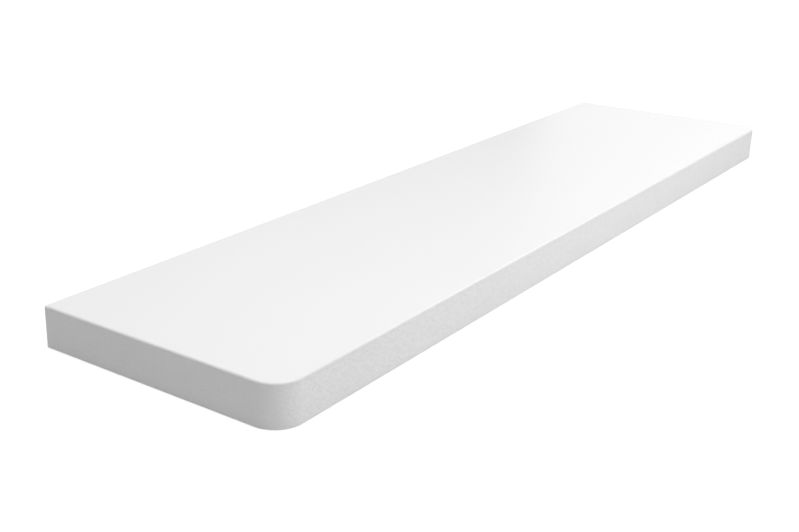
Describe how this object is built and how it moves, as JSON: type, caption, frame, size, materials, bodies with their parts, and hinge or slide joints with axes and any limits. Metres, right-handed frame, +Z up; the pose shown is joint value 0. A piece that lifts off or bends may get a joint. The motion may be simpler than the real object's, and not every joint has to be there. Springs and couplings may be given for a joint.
{
  "type": "window sill board",
  "caption": "Flat white lacquered interior window sill board with rounded front corners, a softly rounded upper edge and a square back edge that meets the window frame.",
  "frame": {"origin": "centre of the underside, on the surface that the board lies on", "axes": "+X along the length, -Y towards the room at the rounded front edge, +Y towards the window at the square back edge, +Z up through the thickness"},
  "size_m": [0.8, 0.2, 0.03],
  "materials": {
    "white_lacquer": "satin"
  },
  "bodies": {
    "root": {"sill_board": "white_lacquer"}
  },
  "joints": []
}
